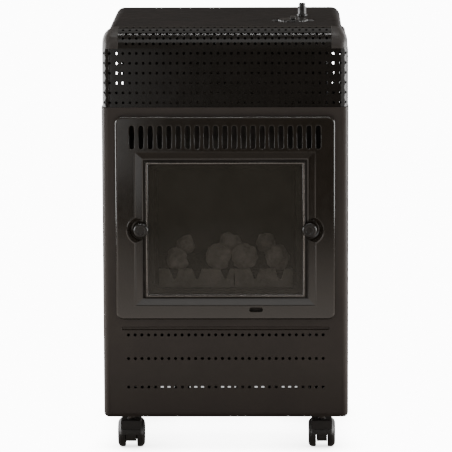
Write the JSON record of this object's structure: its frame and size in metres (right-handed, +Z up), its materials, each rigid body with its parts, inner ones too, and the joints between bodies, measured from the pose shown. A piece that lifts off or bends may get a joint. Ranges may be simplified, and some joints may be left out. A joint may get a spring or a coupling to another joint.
{
  "type": "gas cabinet heater",
  "caption": "Wheeled sheet-steel gas cabinet heater with a louvred, glazed stove front, ceramic coals, a perforated wrap-over heat guard and a tilting rear cover.",
  "frame": {"origin": "floor level, centre of the plan outline of the whole heater", "axes": "+Z up; -Y is the glazed front; +X is to the right as seen from the front"},
  "size_m": [0.42, 0.44, 0.757],
  "materials": {
    "cabinet_paint": "satin warm black powder paint",
    "guard_paint": "satin black paint on perforated sheet",
    "lid_paint": "satin black powder paint",
    "cap_plastic": "black moulded caps, slight sheen",
    "stove_paint": "black stove enamel with bright edges",
    "window_glass": "smoked heat-resistant glass",
    "seal": "woven glass-fibre tape",
    "zinc": "zinc-plated steel",
    "firebox_steel": "heat-darkened steel",
    "ceramic": "matt charcoal-coloured ceramic fibre",
    "brass": "turned brass",
    "pipe_aluminium": "drawn aluminium pipe",
    "valve_casting": "die-cast valve body",
    "lead_rubber": "silicone insulation",
    "control_plastic": "black heat-resistant plastic",
    "caster_plastic": "black nylon"
  },
  "bodies": {
    "cabinet": {"base_tray": "cabinet_paint", "caster_sockets": "zinc", "caster_stems": "zinc", "front_panel": "cabinet_paint", "right_side_panel": "cabinet_paint", "left_side_panel": "cabinet_paint", "perforated_guard": "guard_paint", "corner_cap_right": "cap_plastic", "corner_cap_left": "cap_plastic", "top_lid": "lid_paint", "stove_front": "stove_paint", "window_frame": "stove_paint", "window_glass": "window_glass", "glass_seal": "seal", "clamp_studs": "zinc", "firebox": "firebox_steel", "burner_tray": "firebox_steel", "ceramic_fret": "ceramic", "ember_bed": "ceramic", "front_coals": "ceramic", "rear_coals": "ceramic", "burner_tube": "firebox_steel", "injector": "brass", "pilot_bracket": "zinc", "pilot_burner": "firebox_steel", "spark_electrode": "ceramic", "burner_pipe": "pipe_aluminium", "pilot_pipe": "pipe_aluminium", "ignition_lead": "lead_rubber", "partition": "zinc", "heat_deflector": "zinc", "rear_rail": "cabinet_paint", "rear_screws": "zinc", "gas_valve": "valve_casting", "valve_bracket": "zinc", "hose_nipple": "brass", "piezo_body": "control_plastic", "piezo_nut": "zinc"},
    "valve_spindle": {"valve_spindle": "zinc"},
    "control_knob": {"control_knob": "control_plastic"},
    "piezo_button": {"piezo_button": "control_plastic"},
    "clamp_knob_left": {"clamp_knob_left": "control_plastic"},
    "clamp_knob_right": {"clamp_knob_right": "control_plastic"},
    "rear_cover": {"rear_cover": "cabinet_paint"},
    "caster_front_left": {"caster_housing_front_left": "caster_plastic", "caster_axle_front_left": "zinc"},
    "wheel_front_left_left": {"caster_wheel_front_left_left": "caster_plastic"},
    "wheel_front_left_right": {"caster_wheel_front_left_right": "caster_plastic"},
    "caster_front_right": {"caster_housing_front_right": "caster_plastic", "caster_axle_front_right": "zinc"},
    "wheel_front_right_left": {"caster_wheel_front_right_left": "caster_plastic"},
    "wheel_front_right_right": {"caster_wheel_front_right_right": "caster_plastic"},
    "caster_rear_left": {"caster_housing_rear_left": "caster_plastic", "caster_axle_rear_left": "zinc"},
    "wheel_rear_left_left": {"caster_wheel_rear_left_left": "caster_plastic"},
    "wheel_rear_left_right": {"caster_wheel_rear_left_right": "caster_plastic"},
    "caster_rear_right": {"caster_housing_rear_right": "caster_plastic", "caster_axle_rear_right": "zinc"},
    "wheel_rear_right_left": {"caster_wheel_rear_right_left": "caster_plastic"},
    "wheel_rear_right_right": {"caster_wheel_rear_right_right": "caster_plastic"}
  },
  "joints": [
    {"name": "spindle_turn", "type": "hinge", "parent": "cabinet", "child": "valve_spindle", "pos_m": [0.116, -0.062, 0.7312], "axis": [0, 0, 1], "range_deg": [0, 240]},
    {"name": "knob_press", "type": "slide", "parent": "valve_spindle", "child": "control_knob", "axis": [0, 0, -1], "range_m": [0, 0.004], "stiffness_N_per_m": 800, "springref_m": -0.002},
    {"name": "igniter_press", "type": "slide", "parent": "cabinet", "child": "piezo_button", "axis": [0, 0, -1], "range_m": [0, 0.005], "stiffness_N_per_m": 1200, "springref_m": -0.002},
    {"name": "clamp_turn_left", "type": "hinge", "parent": "cabinet", "child": "clamp_knob_left", "pos_m": [-0.1435, -0.2158, 0.3906], "axis": [0, -1, 0], "continuous": true},
    {"name": "clamp_turn_right", "type": "hinge", "parent": "cabinet", "child": "clamp_knob_right", "pos_m": [0.1435, -0.2158, 0.3906], "axis": [0, -1, 0], "continuous": true},
    {"name": "rear_cover_tilt", "type": "hinge", "parent": "cabinet", "child": "rear_cover", "pos_m": [0, 0.167, 0.08], "axis": [-1, 0, 0], "range_deg": [0, 60]},
    {"name": "caster_front_left_swivel", "type": "hinge", "parent": "cabinet", "child": "caster_front_left", "pos_m": [-0.165, -0.16, 0.05], "axis": [0, 0, 1], "continuous": true},
    {"name": "wheel_front_left_left_roll", "type": "hinge", "parent": "caster_front_left", "child": "wheel_front_left_left", "pos_m": [-0.1815, -0.146, 0.025], "axis": [1, 0, 0], "continuous": true},
    {"name": "wheel_front_left_right_roll", "type": "hinge", "parent": "caster_front_left", "child": "wheel_front_left_right", "pos_m": [-0.1485, -0.146, 0.025], "axis": [1, 0, 0], "continuous": true},
    {"name": "caster_front_right_swivel", "type": "hinge", "parent": "cabinet", "child": "caster_front_right", "pos_m": [0.165, -0.16, 0.05], "axis": [0, 0, 1], "continuous": true},
    {"name": "wheel_front_right_left_roll", "type": "hinge", "parent": "caster_front_right", "child": "wheel_front_right_left", "pos_m": [0.1485, -0.146, 0.025], "axis": [1, 0, 0], "continuous": true},
    {"name": "wheel_front_right_right_roll", "type": "hinge", "parent": "caster_front_right", "child": "wheel_front_right_right", "pos_m": [0.1815, -0.146, 0.025], "axis": [1, 0, 0], "continuous": true},
    {"name": "caster_rear_left_swivel", "type": "hinge", "parent": "cabinet", "child": "caster_rear_left", "pos_m": [-0.165, 0.13, 0.05], "axis": [0, 0, 1], "continuous": true},
    {"name": "wheel_rear_left_left_roll", "type": "hinge", "parent": "caster_rear_left", "child": "wheel_rear_left_left", "pos_m": [-0.1815, 0.144, 0.025], "axis": [1, 0, 0], "continuous": true},
    {"name": "wheel_rear_left_right_roll", "type": "hinge", "parent": "caster_rear_left", "child": "wheel_rear_left_right", "pos_m": [-0.1485, 0.144, 0.025], "axis": [1, 0, 0], "continuous": true},
    {"name": "caster_rear_right_swivel", "type": "hinge", "parent": "cabinet", "child": "caster_rear_right", "pos_m": [0.165, 0.13, 0.05], "axis": [0, 0, 1], "continuous": true},
    {"name": "wheel_rear_right_left_roll", "type": "hinge", "parent": "caster_rear_right", "child": "wheel_rear_right_left", "pos_m": [0.1485, 0.144, 0.025], "axis": [1, 0, 0], "continuous": true},
    {"name": "wheel_rear_right_right_roll", "type": "hinge", "parent": "caster_rear_right", "child": "wheel_rear_right_right", "pos_m": [0.1815, 0.144, 0.025], "axis": [1, 0, 0], "continuous": true}
  ]
}
